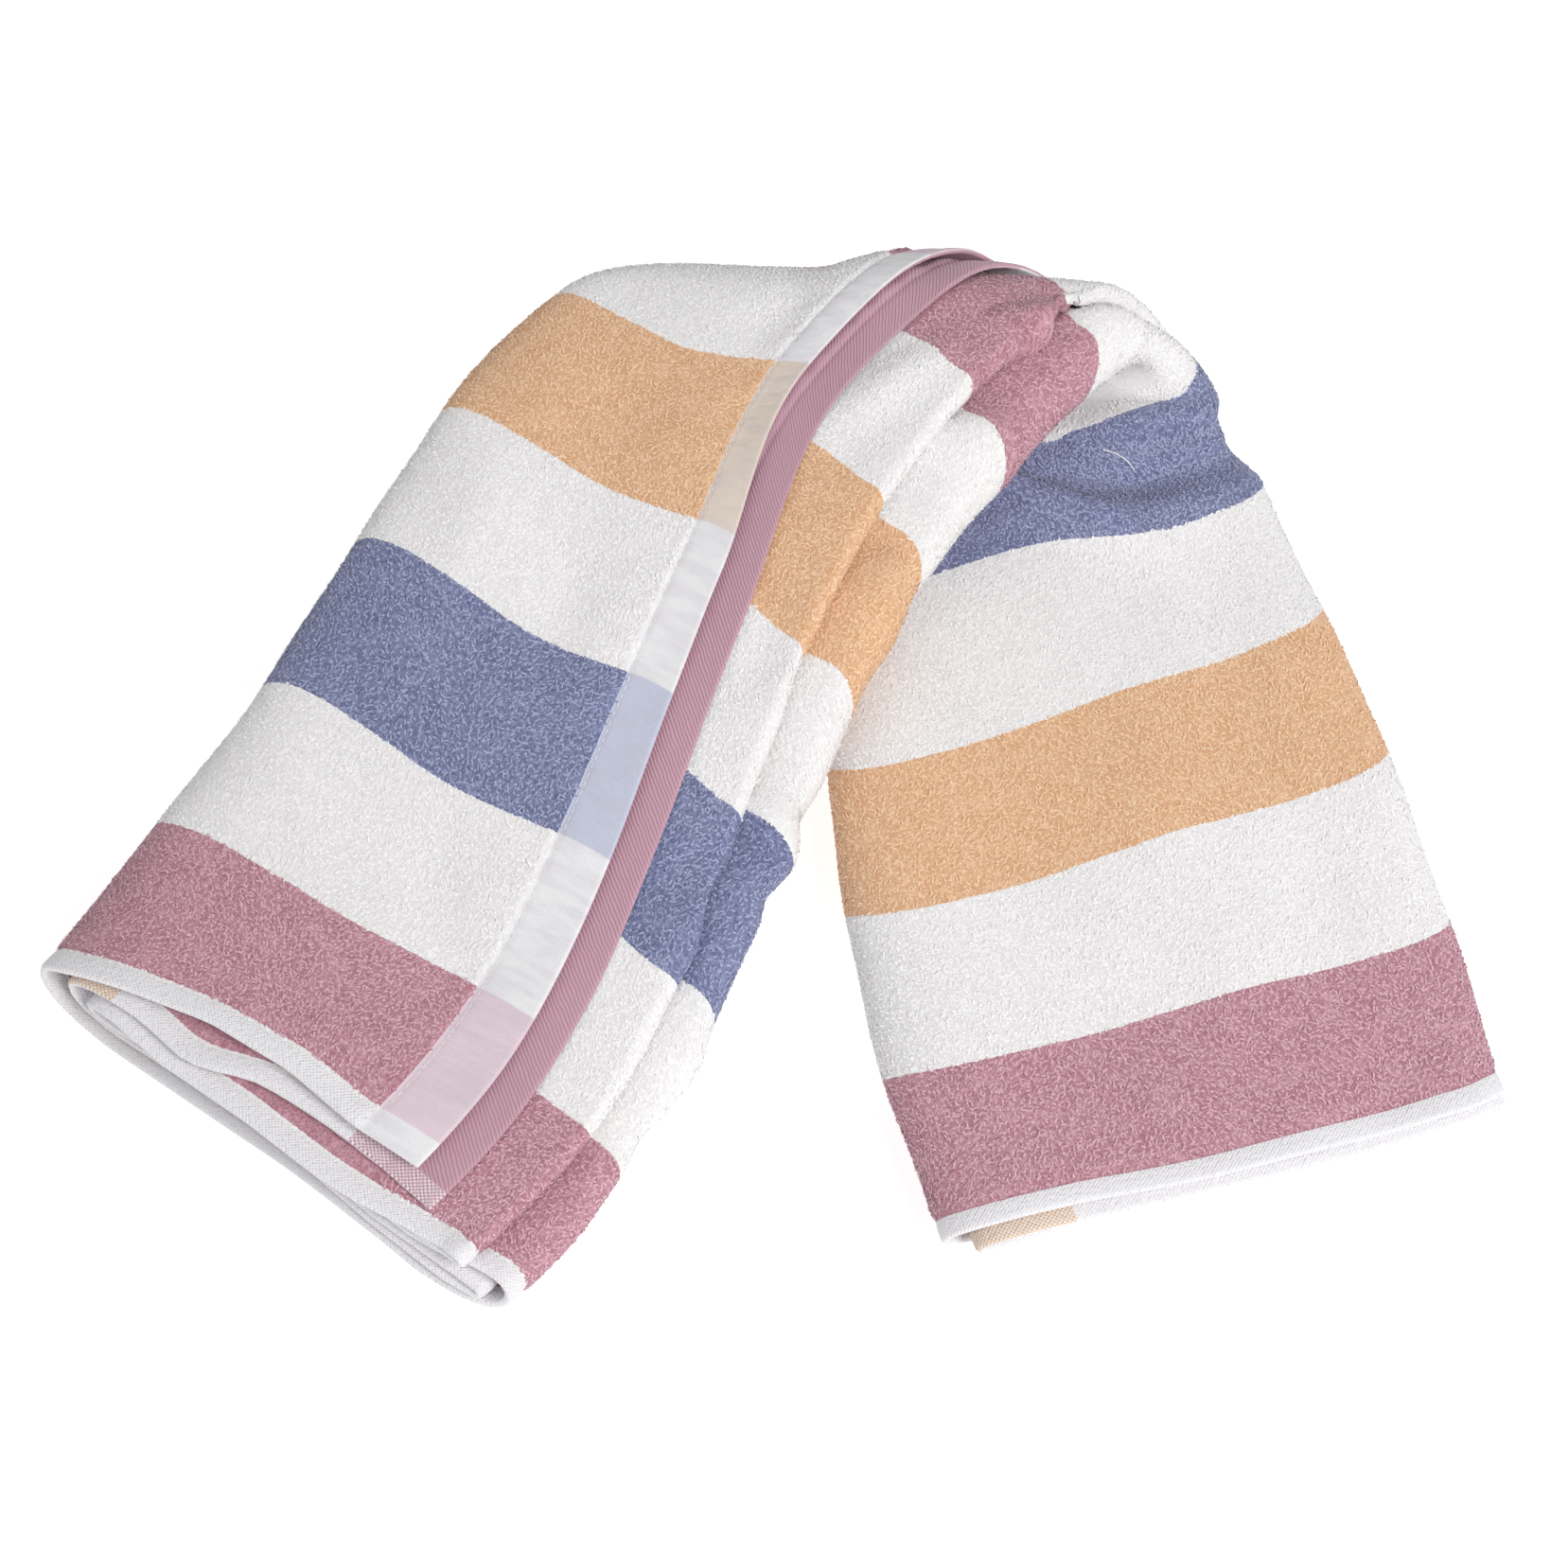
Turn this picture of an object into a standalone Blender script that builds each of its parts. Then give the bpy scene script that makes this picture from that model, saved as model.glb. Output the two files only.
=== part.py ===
"""Bath towel, folded in half three times along its length into a strip of eight layers.
The strip is turned over at its middle, so one leg lies across the top of the other.
Metres, Z up, resting on z = 0. One cloth is one solid: its two hems are part of it."""

import bpy
import numpy as np

# The cloth
TOWEL_WIDTH = 0.70  # across the stripes, and so along the folded strip
CLOTH = 0.0024  # thickness of the solid sheet
PITCH = 0.0044  # from one layer to the next
LAYERS = 8
STACK = LAYERS * PITCH

# The strip's cross section, all from the left edge of the folded strip
LEFT_BEND = 0.030  # where the nested left folds begin
HEM_A = 0.133  # the top layer ends here
HEM_B = 0.143  # the second layer ends here
ROLL_ONE = 0.164  # the towel's middle fold
ROLL_TWO = 0.175  # the widest fold, of four layers
DRAW_A = 0.017  # each hem draws back this much before the ridge
DRAW_B = 0.011

# The turn that puts one leg over the other
INNER_RADIUS = 0.0069
RADIUS_GROWTH = 0.5  # how much wider the turn gets from the left edge to the right edge
SLANT = 0.73  # sideways run of the strip for each metre round the turn
LEFT_SLIDE = 0.40  # how far a layer draws back at the left foot for each metre of its height


# A row for each lengthwise line of the strip:
# across the strip, how much of the towel's width lies before the turn, ridge x, ridge y
RIDGE = np.array([
    (0.000, 0.319, -0.047, 0.012),
    (0.058, 0.351, 0.017, 0.004),
    (0.117, 0.382, 0.074, 0.001),
    (0.175, 0.418, 0.126, -0.008),
])
# A row for each end of each foot: x, y, heading in degrees from straight down the plan
LEFT_FOOT = np.array([(-0.249, -0.218, -40.0), (-0.093, -0.323, -52.0)])
RIGHT_FOOT = np.array([(0.043, -0.306, 20.0), (0.221, -0.264, 20.0)])
LEFT_LEAN = 0.30  # sideways for each metre of height
RIGHT_LEAN = 0.25
LEFT_PULL = 1.05
RIGHT_PULL = 0.74
# How far along the left leg its underside starts to fall and where it is down, at each edge
FALL = np.array([(0.10, 0.85), (0.25, 0.85)])
FOOT_CLOSER = 0.12  # the right foot's layers lie this much closer together
CLOSER_FROM = 0.45  # from this much of the way down the leg
LEFT_DRAW = 0.009  # the left foot's low layers stop this much short, less toward the right edge
LEFT_EVEN = 0.12
RIGHT_EVEN = (0.25, 0.75)  # how far each layer of the right foot stops short, per height
RIDGE_PRESS = 0.28  # the turn is pressed flatter at its left end
TUCK = 0.0055  # the rolls lie this much further in, most of the way down the left leg

SHARED_SWAY = 0.011  # cloth within this distance of a fold moves sideways with the fold

# Where the sheet has a row of points: 0 to 1 down the left leg from its foot,
# 1 to 2 round the turn and 2 to 3 down the right leg to its foot
LEFT_ROWS = np.array([0.0, 0.11, 0.25, 0.40, 0.55, 0.70, 0.85])
TURN_ROWS = np.linspace(1.0, 2.0, 12)
RIGHT_ROWS = np.array([2.18, 2.36, 2.54, 2.70, 2.82, 2.91, 3.0])


def soft(x):
    x = np.clip(x, 0.0, 1.0)
    return x * x * (3.0 - 2.0 * x)


def through(x, rows, column):
    """A smooth curve through one column of a table, against its first column."""
    at = rows[:, 0]
    value = rows[:, column]
    grade = np.gradient(value, at)
    i = np.clip(np.searchsorted(at, x, side="right") - 1, 0, len(at) - 2)
    wide = at[i + 1] - at[i]
    t = (np.clip(x, at[0], at[-1]) - at[i]) / wide
    ends = value[i] * (1 + 2 * t) * (1 - t) ** 2 + value[i + 1] * t * t * (3 - 2 * t)
    return ends + wide * (grade[i] * t * (1 - t) ** 2 - grade[i + 1] * t * t * (1 - t))


def level(layer):
    """Height of a layer's middle above the underside; layer 1 is on top in the left leg."""
    return (LAYERS + 0.5 - layer) * PITCH


def flat_run(layer, start, end, steps):
    across = np.linspace(start, end, steps + 1)[:-1]
    return np.stack([across, np.full(steps, level(layer))], 1)


def bend(first, second, at, reach, steps):
    """Half an ellipse from one layer to another; reach is negative for a left fold."""
    a = np.linspace(0.0, np.pi, steps + 1)[:-1]
    middle = (level(first) + level(second)) / 2
    half = (level(first) - level(second)) / 2
    return np.stack([at + reach * np.sin(a), middle + half * np.cos(a)], 1)


def section():
    """The whole cloth from hem to hem, across the strip and up through its layers."""
    two = ROLL_TWO - 0.0075
    one = ROLL_ONE - 0.0024
    runs = [
        flat_run(1, HEM_A, LEFT_BEND, 5), bend(1, 8, LEFT_BEND, -0.030, 8),
        flat_run(8, LEFT_BEND, two, 6), bend(8, 5, two, 0.0075, 6),
        flat_run(5, two, LEFT_BEND, 5), bend(5, 4, LEFT_BEND, -0.0028, 4),
        flat_run(4, LEFT_BEND, one, 5), bend(4, 3, one, 0.0024, 4),
        flat_run(3, one, LEFT_BEND, 5), bend(3, 6, LEFT_BEND, -0.0140, 6),
        flat_run(6, LEFT_BEND, two, 5), bend(6, 7, two, 0.0024, 4),
        flat_run(7, two, LEFT_BEND, 5), bend(7, 2, LEFT_BEND, -0.0220, 7),
        flat_run(2, LEFT_BEND, HEM_B, 5), [(HEM_B, level(2))],
    ]
    return np.concatenate(runs)


def draw_hems(points, run):
    """The section for each row: layers 1 and 2 shorten smoothly as they near the ridge."""
    across, height = points[None, :, 0], points[None, :, 1]
    share = np.clip((across - LEFT_BEND) / (HEM_A - LEFT_BEND), 0.0, 1.1)
    near = soft((run[:, None] - 0.65) / 0.25)
    top = np.abs(height - level(1)) < PITCH / 4
    second = np.abs(height - level(2)) < PITCH / 4
    return across - near * share * (DRAW_A * top + DRAW_B * second)


def sway_heights(points):
    """Each point's height, averaged along the cloth, so a fold goes round the turn in one piece."""
    steps = np.hypot(*np.diff(points, axis=0).T)
    along = np.concatenate([[0.0], np.cumsum(steps)])
    fine = np.linspace(0.0, along[-1], 1200)
    heights = np.interp(fine, along, points[:, 1])
    total = np.concatenate([[0.0], np.cumsum((heights[1:] + heights[:-1]) / 2 * np.diff(fine))])
    low = np.maximum(along - SHARED_SWAY, 0.0)
    high = np.minimum(along + SHARED_SWAY, along[-1])
    return (np.interp(high, fine, total) - np.interp(low, fine, total)) / (high - low)


def leg(along, across, top_x, top_y, way, foot, pull):
    """Plan of a leg: a smooth line from the ridge to the foot for each line of the strip."""
    w = across / ROLL_TWO
    foot_x, foot_y, heading = (foot[0, k] * (1 - w) + foot[1, k] * w for k in range(3))
    heading = np.radians(heading)
    span = np.hypot(foot_x - top_x, foot_y - top_y)
    t = np.clip(along, 0.0, 1.0)
    a = (1 + 2 * t) * (1 - t) ** 2
    b = t * t * (3 - 2 * t)
    c = t * (1 - t) ** 2 * span * pull
    d = -t * t * (1 - t) * span
    x = top_x * a + foot_x * b + way[0] * c + np.sin(heading) * d
    y = top_y * a + foot_y * b + way[1] * c - np.cos(heading) * d
    return x, y


def place(run, across, height, sway):
    """Folded strip to world. run is 0 to 1 on the left leg, to 2 round the turn, to 3 after it.
    sway is the height that sets how far the cloth moves sideways round the turn, and how far
    it draws back at a foot."""
    before = through(across, RIDGE, 1)
    ridge_x = through(across, RIDGE, 2)
    ridge_y = through(across, RIDGE, 3)
    step = 0.001
    way_x = through(across + step, RIDGE, 2) - through(across - step, RIDGE, 2)
    way_y = through(across + step, RIDGE, 3) - through(across - step, RIDGE, 3)
    size = np.hypot(way_x, way_y)
    way_x, way_y = way_x / size, way_y / size
    w = across / ROLL_TWO
    inner = INNER_RADIUS * (1 + RADIUS_GROWTH * (w - 0.5))
    radius = inner + height
    angle = (np.clip(run - 1, 0.0, 1.0) - 0.5) * np.pi
    left = np.clip(1 - run, 0.0, 1.0)
    right = np.clip(run - 2, 0.0, 1.0)
    on_left = run < 1
    on_right = run > 2
    left_long = before - np.pi * inner / 2
    right_long = TOWEL_WIDTH - before - np.pi * inner / 2
    drawn = LEFT_DRAW * (1 - soft((w - 0.45) / 0.55)) + LEFT_EVEN * sway
    drawn = np.maximum(drawn, LEFT_SLIDE * sway)
    even = (RIGHT_EVEN[0] * (1 - w) + RIGHT_EVEN[1] * w) * sway
    left_part = left * (1 - drawn / left_long)
    right_part = right * (1 - even / right_long)
    # the turn is a helix: back over the ridge and down, with a sideways run
    top_x = ridge_x + way_x * (inner + sway) * angle * SLANT
    top_y = ridge_y + way_y * (inner + sway) * angle * SLANT
    back = radius * np.cos(angle) * (1 - RIDGE_PRESS * (1 - soft(w / 0.6)))
    turn_x = top_x - way_y * back
    turn_y = top_y + way_x * back
    lean = np.hypot(1.0, SLANT)
    left_way = ((way_y - SLANT * way_x) / lean, (-way_x - SLANT * way_y) / lean)
    right_way = ((way_y + SLANT * way_x) / lean, (-way_x + SLANT * way_y) / lean)
    left_x, left_y = leg(left_part, across, top_x, top_y, left_way, LEFT_FOOT, LEFT_PULL)
    right_x, right_y = leg(right_part, across, top_x, top_y, right_way, RIGHT_FOOT, RIGHT_PULL)
    x = np.where(on_left, left_x, np.where(on_right, right_x, turn_x))
    y = np.where(on_left, left_y, np.where(on_right, right_y, turn_y))
    start, end = (FALL[0, k] * (1 - w) + FALL[1, k] * w for k in range(2))
    left_z = (2 * inner + STACK) * (1 - soft((left_part - start) / (end - start))) + height
    # the layers lie closer together towards the foot; the lowest stays on the table
    closer = 1 - FOOT_CLOSER * soft((right_part - CLOSER_FROM) / (1 - CLOSER_FROM))
    right_z = PITCH / 2 + (STACK - height - PITCH / 2) * closer
    turn_z = inner + STACK - radius * np.sin(angle)
    # the stack leans: each leg's low layers draw in under it, away from the gap
    low = np.clip(STACK / 2 - height, 0.0, None)
    x = x + RIGHT_LEAN * height * soft(2 * right_part) - LEFT_LEAN * low * soft(2 * left_part)
    midway = np.clip(1 - ((left_part - 0.6) / 0.65) ** 2, 0.0, 1.0) ** 2
    tuck = TUCK * soft((across - 0.145) / 0.020) * midway
    x = x - 0.7 * tuck
    y = y + 0.7 * tuck
    z = np.where(on_left, left_z, np.where(on_right, right_z, turn_z))
    return np.stack([x, y, z], -1)


def terry_material():
    material = bpy.data.materials.new("terry")
    material.use_nodes = True
    shader = material.node_tree.nodes["Principled BSDF"]
    shader.inputs["Base Color"].default_value = (0.79, 0.71, 0.69, 1.0)
    shader.inputs["Roughness"].default_value = 0.95
    shader.inputs["Metallic"].default_value = 0.0
    return material


def build():
    for obj in list(bpy.data.objects):
        bpy.data.objects.remove(obj, do_unlink=True)
    collection = bpy.data.collections.new("bath_towel")
    bpy.context.scene.collection.children.link(collection)
    points = section()
    run = np.concatenate([LEFT_ROWS, TURN_ROWS, RIGHT_ROWS])
    sway = sway_heights(points)
    grid = place(run[:, None], draw_hems(points, run), points[None, :, 1], sway[None, :])
    low = (PITCH - CLOTH) / 2
    middle = (grid.min(axis=(0, 1)) + grid.max(axis=(0, 1))) / 2
    grid = grid - np.array([middle[0], middle[1], low])
    rows, columns = grid.shape[:2]
    index = np.arange(rows * columns).reshape(rows, columns)
    faces = np.stack([index[:-1, :-1], index[1:, :-1], index[1:, 1:], index[:-1, 1:]], -1)
    mesh = bpy.data.meshes.new("towel")
    mesh.from_pydata(grid.reshape(-1, 3).tolist(), [], faces.reshape(-1, 4).tolist())
    mesh.update()
    towel = bpy.data.objects.new("towel", mesh)
    collection.objects.link(towel)
    mesh.materials.append(terry_material())
    mesh.shade_smooth()
    solid = towel.modifiers.new("thickness", "SOLIDIFY")
    solid.thickness = CLOTH
    solid.offset = 0.0
    solid.use_even_offset = True


build()
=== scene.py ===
"""Striped terry bath towel, folded in half three times and turned over on itself.

The cloth is one closed sheet carried along the folded strip: a section through its eight layers,
and a map that takes the strip down the left leg, round the turned-over ridge and down the right leg.
Metres, Z up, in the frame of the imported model.
"""

import bpy
import numpy as np
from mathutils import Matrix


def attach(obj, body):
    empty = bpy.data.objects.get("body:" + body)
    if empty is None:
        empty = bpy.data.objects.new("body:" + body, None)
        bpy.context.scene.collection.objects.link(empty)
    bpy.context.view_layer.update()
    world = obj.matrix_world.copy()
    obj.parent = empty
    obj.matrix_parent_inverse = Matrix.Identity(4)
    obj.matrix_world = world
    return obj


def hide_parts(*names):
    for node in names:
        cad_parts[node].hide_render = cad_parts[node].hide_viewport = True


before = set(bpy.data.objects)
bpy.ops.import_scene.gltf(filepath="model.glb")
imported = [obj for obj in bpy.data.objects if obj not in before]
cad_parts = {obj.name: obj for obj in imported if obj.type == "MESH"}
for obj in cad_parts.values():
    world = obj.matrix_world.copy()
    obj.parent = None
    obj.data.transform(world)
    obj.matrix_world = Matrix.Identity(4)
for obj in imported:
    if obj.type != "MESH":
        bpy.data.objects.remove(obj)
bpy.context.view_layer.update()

# ---------------------------------------------------------------- the cloth's real sizes
WIDTH = 0.70  # across the stripes, and so along the folded strip
SELVAGE = 0.0070  # the white woven edge
STRIPE = (WIDTH - 2 * SELVAGE) / 13
HEM = 0.020  # how wide the flat-woven hems are
TWILL = 0.030  # hem B's woven band, seen from the back
BORDER = (0.178, 0.119)  # the border band's two sides, from hem B's end
TERRY = 0.0034  # thickness of the ground and its pile, pressed
FLAT = 0.0018  # thickness of a hem
FIRMER = 0.0011  # how much thicker a selvage is
LOWEST = 0.0012  # the middle of the cloth stays this far above the surface it lies on
THIN = 0.22  # what is left of the thickness at the very rim
ROUND_SIDE, ROUND_END = 0.0014, 0.0011  # how far in the rims are rounded, at a selvage and a hem
PILE_SIDE, PILE_END = 0.0022, 0.0014  # over how far the pile rises, from a selvage and a hem
PINCH = 0.45  # how much a row of stitches pinches the cloth
SLACK = 0.0005  # height of the cloth's slack waves
PUCKER, PUCKER_EVERY = 0.0006, 0.013  # height and spacing, past the stitches
WRINKLE, WRINKLE_EVERY = 0.00022, 0.009  # and across a hem
PITCH = 0.0044  # from one layer to the next
LAYERS = 8
STACK = LAYERS * PITCH

# The folded strip's section, across from its left edge
LEFT_BEND = 0.030
HEM_A = 0.133
HEM_B = 0.143
ROLL_ONE = 0.164
ROLL_TWO = 0.175
# How far each fold bulges past the ends of the two layers that it joins
LEFT_FOLD = {(1, 8): 0.0300, (7, 2): 0.0220, (3, 6): 0.0140, (5, 4): 0.0028}
RIGHT_FOLD = {(8, 5): 0.0075, (6, 7): 0.0024, (4, 3): 0.0024}
DRAW_A = 0.017  # each hem draws back this much before the ridge
DRAW_B = 0.011
DRAW_FROM, DRAW_REACH = 0.21, 0.08  # down the strip
# Spacing of the mesh's columns where the cloth shows, half shows, is hidden, and is a hem
SHOWN, HALF_SHOWN, HIDDEN, AT_HEM = 0.0031, 0.0065, 0.0300, 0.0012

# The turn, and the plan of the two legs
INNER_RADIUS = 0.0069  # of the turn's lowest layer, at the strip's middle
RADIUS_GROWTH = 0.5  # as a share of that radius, from the left edge to the right one
SLANT = 0.73  # how far the strip moves along the ridge for each metre round it
LEFT_SLIDE = 0.40  # how much each leg shortens for each metre of height in the stack
RIGHT_SLIDE = 1.50
SHARED_SWAY = 0.011  # heights are averaged this far either way along the cloth
# across the strip, towel width before the turn, ridge x, ridge y
RIDGE = np.array([
    (0.000, 0.319, -0.047, 0.012),
    (0.058, 0.351, 0.017, 0.004),
    (0.117, 0.382, 0.074, 0.001),
    (0.175, 0.418, 0.126, -0.008),
])
# x, y, heading in degrees, for each end of a foot
LEFT_FOOT = np.array([(-0.249, -0.218, -40.0), (-0.093, -0.323, -52.0)])
RIGHT_FOOT = np.array([(0.043, -0.306, 20.0), (0.221, -0.264, 20.0)])
LEFT_LEAN = 0.30  # sideways for each metre of height
RIGHT_LEAN = 0.25
LEFT_PULL = 1.05  # how straight each leg leaves the ridge
RIGHT_PULL = 0.74
# Where the left leg's fall starts and ends, as shares of the leg, for its left and right edge
FALL = np.array([(0.10, 0.85), (0.25, 0.85)])
FOOT_CLOSER = 0.12  # the right leg's layers press together by this share
CLOSER_FROM = 0.45  # from this share of the leg on
LEFT_DRAW = 0.009  # the left foot's low layers stop this much short, less toward the right edge
LEFT_EVEN = 0.12  # and each layer this much more for each metre of height
RIGHT_EVEN = (0.25, 0.75)  # the same at the right foot, for its left and right edge
RIDGE_PRESS = 0.28  # the turn is pressed flatter at its left end
TUCK = 0.0055  # the rolls lie this much further in, most of the way down the left leg
TUCK_FROM, TUCK_REACH = 0.145, 0.020  # across the strip
TUCK_MIDDLE, TUCK_HALF = 0.6, 0.65  # shares of the leg
TUCK_SHARE = 0.7  # of it in x, and as much in y
SHIFT = np.array([-0.01072, -0.13873, 0.001])  # from the fold's own origin to the frame's

# The pile's curls: length, sideways bow, height, half width and how deep they are rooted
LOOP_PITCH = 0.00155
LOOP_LONG = (0.0018, 0.0030)
LOOP_BOW = 0.0007
LOOP_HIGH = (0.0003, 0.0008)
LOOP_HALF = (0.00022, 0.00032)
LOOP_ROOT = 0.00025
# A hem's stitches
STITCH_EVERY = 0.0028
STITCH_HALF_LONG = 0.0010
STITCH_HALF_WIDE = 0.00017
STITCH_IN = 0.0014  # from the hem's edge


def soft(x):
    """Smooth step from 0 to 1, three x squared less two x cubed."""
    x = np.clip(x, 0.0, 1.0)
    return x * x * (3.0 - 2.0 * x)


def hill(x, middle, half):
    """A smooth bump of height 1 at middle, gone at half either side: one less the distance
    squared, squared."""
    d = np.clip(np.abs(x - middle) / half, 0.0, 1.0)
    return (1.0 - d * d) ** 2


def through(x, rows, column):
    """A smooth curve through one column of a table, against its first column."""
    at = rows[:, 0]
    value = rows[:, column]
    grade = np.gradient(value, at)
    i = np.clip(np.searchsorted(at, x, side="right") - 1, 0, len(at) - 2)
    wide = at[i + 1] - at[i]
    t = (np.clip(x, at[0], at[-1]) - at[i]) / wide
    ends = value[i] * (1 + 2 * t) * (1 - t) ** 2 + value[i + 1] * t * t * (3 - 2 * t)
    return ends + wide * (grade[i] * t * (1 - t) ** 2 - grade[i + 1] * t * t * (1 - t))


# ---------------------------------------------------------------- the section
def level(layer):
    """Height of a layer's middle above the strip's underside; layer 1 is the top of the left leg."""
    return (LAYERS + 0.5 - layer) * PITCH


def flat_run(layer, start, end, spacing):
    """Points every 0.5 mm along one layer; the last column is the spacing that the mesh wants."""
    steps = max(2, int(round(abs(end - start) / 0.0005)))
    across = np.linspace(start, end, steps + 1)[:-1]
    return np.stack([across, np.full(steps, level(layer)), np.full(steps, spacing)], 1)


def bend(first, second, at, reach, spacing):
    """Half an ellipse from one layer to another: reach times the sine of an angle across, and half
    the gap times its cosine in height. Reach is negative for a left fold."""
    a = np.linspace(0.0, np.pi, 49)[:-1]
    middle = (level(first) + level(second)) / 2
    half = (level(first) - level(second)) / 2
    return np.stack([at + reach * np.sin(a), middle + half * np.cos(a), np.full(48, spacing)], 1)


def section():
    """The whole cloth from hem to hem: across, height and wanted spacing."""
    two = ROLL_TWO - RIGHT_FOLD[8, 5]
    one = ROLL_ONE - RIGHT_FOLD[4, 3]
    # the mesh is finer near each hem, on the parts of the rolls that show, and at the right foot
    by_hem_a, by_hem_b = HEM_A - 0.024, HEM_A - 0.012
    in_two, in_one, in_foot = 0.148, 0.120, 0.090
    runs = [
        flat_run(1, HEM_A, by_hem_a, AT_HEM), flat_run(1, by_hem_a, LEFT_BEND, SHOWN),
        bend(1, 8, LEFT_BEND, -LEFT_FOLD[1, 8], SHOWN),
        flat_run(8, LEFT_BEND, two, SHOWN), bend(8, 5, two, RIGHT_FOLD[8, 5], 0.0016),
        flat_run(5, two, in_two, 0.0020), flat_run(5, in_two, LEFT_BEND, HIDDEN),
        bend(5, 4, LEFT_BEND, -LEFT_FOLD[5, 4], 0.0012),
        flat_run(4, LEFT_BEND, one, HIDDEN), bend(4, 3, one, RIGHT_FOLD[4, 3], 0.0009),
        flat_run(3, one, in_one, 0.0020), flat_run(3, in_one, LEFT_BEND, HIDDEN),
        bend(3, 6, LEFT_BEND, -LEFT_FOLD[3, 6], 0.0030),
        flat_run(6, LEFT_BEND, two, HIDDEN), bend(6, 7, two, RIGHT_FOLD[6, 7], 0.0010),
        flat_run(7, two, in_foot, HIDDEN), flat_run(7, in_foot, LEFT_BEND, 0.0090),
        bend(7, 2, LEFT_BEND, -LEFT_FOLD[7, 2], 0.0032),
        flat_run(2, LEFT_BEND, by_hem_b, HALF_SHOWN),
        flat_run(2, by_hem_b, HEM_B, AT_HEM), [(HEM_B, level(2), AT_HEM)],
    ]
    return np.concatenate(runs)


def along_cloth(points):
    """Distance along the cloth from hem A, in the section."""
    return np.concatenate([[0.0], np.cumsum(np.hypot(*np.diff(points[:, :2], axis=0).T))])


def sway_heights(points):
    """Each point's height, averaged along the cloth, so a fold goes round the turn in one piece."""
    along = along_cloth(points)
    fine = np.linspace(0.0, along[-1], 4800)
    heights = np.interp(fine, along, points[:, 1])
    total = np.concatenate([[0.0], np.cumsum((heights[1:] + heights[:-1]) / 2 * np.diff(fine))])
    low = np.maximum(along - SHARED_SWAY, 0.0)
    high = np.minimum(along + SHARED_SWAY, along[-1])
    return (np.interp(high, fine, total) - np.interp(low, fine, total)) / (high - low)


PATH = section()
PATH_ALONG = along_cloth(PATH)
PATH_SWAY = sway_heights(PATH)
CLOTH_RUN = PATH_ALONG[-1]


def columns():
    """Distances along the cloth for the mesh's columns, as close as each stretch wants them."""
    wanted = 1.0 / PATH[:, 2]
    count = np.concatenate([[0.0], np.cumsum((wanted[1:] + wanted[:-1]) / 2 * np.diff(PATH_ALONG))])
    inner = np.interp(np.arange(1, int(count[-1])) / int(count[-1]) * count[-1], count, PATH_ALONG)
    edge = np.array([0.0, 0.0003, 0.0008])
    inner = inner[(inner > 0.0012) & (inner < CLOTH_RUN - 0.0012)]
    return np.concatenate([edge, inner, CLOTH_RUN - edge[::-1]])


def down_strip():
    """Distances down the strip for the mesh's rows: close at both selvages and where it is crumpled."""
    edge = np.array([0.0, 0.0003, 0.0009, 0.0020, 0.0045, SELVAGE, 0.0079, 0.0093, 0.0118])
    stops = np.array([0.0150, 0.120, 0.200, 0.330, 0.410, 0.490, WIDTH - 0.0150])
    counts = (22, 20, 28, 24, 32, 28)
    inner = [np.linspace(a, b, n + 1)[:-1] for a, b, n in zip(stops[:-1], stops[1:], counts)]
    return np.concatenate([edge] + inner + [stops[-1:], WIDTH - edge[::-1]])


# ---------------------------------------------------------------- the strip in space
def leg(along, across, top_x, top_y, way, foot, pull):
    """Plan of a leg: for each line of the strip, a cubic from the ridge to the foot that sets out
    along way, the more so the larger pull is, and comes in along the foot's heading."""
    w = across / ROLL_TWO
    foot_x, foot_y, heading = (foot[0, k] * (1 - w) + foot[1, k] * w for k in range(3))
    heading = np.radians(heading)
    span = np.hypot(foot_x - top_x, foot_y - top_y)
    t = np.clip(along, 0.0, 1.0)
    a = (1 + 2 * t) * (1 - t) ** 2
    b = t * t * (3 - 2 * t)
    c = t * (1 - t) ** 2 * span * pull
    d = -t * t * (1 - t) * span
    x = top_x * a + foot_x * b + way[0] * c + np.sin(heading) * d
    y = top_y * a + foot_y * b + way[1] * c - np.cos(heading) * d
    return x, y


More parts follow.
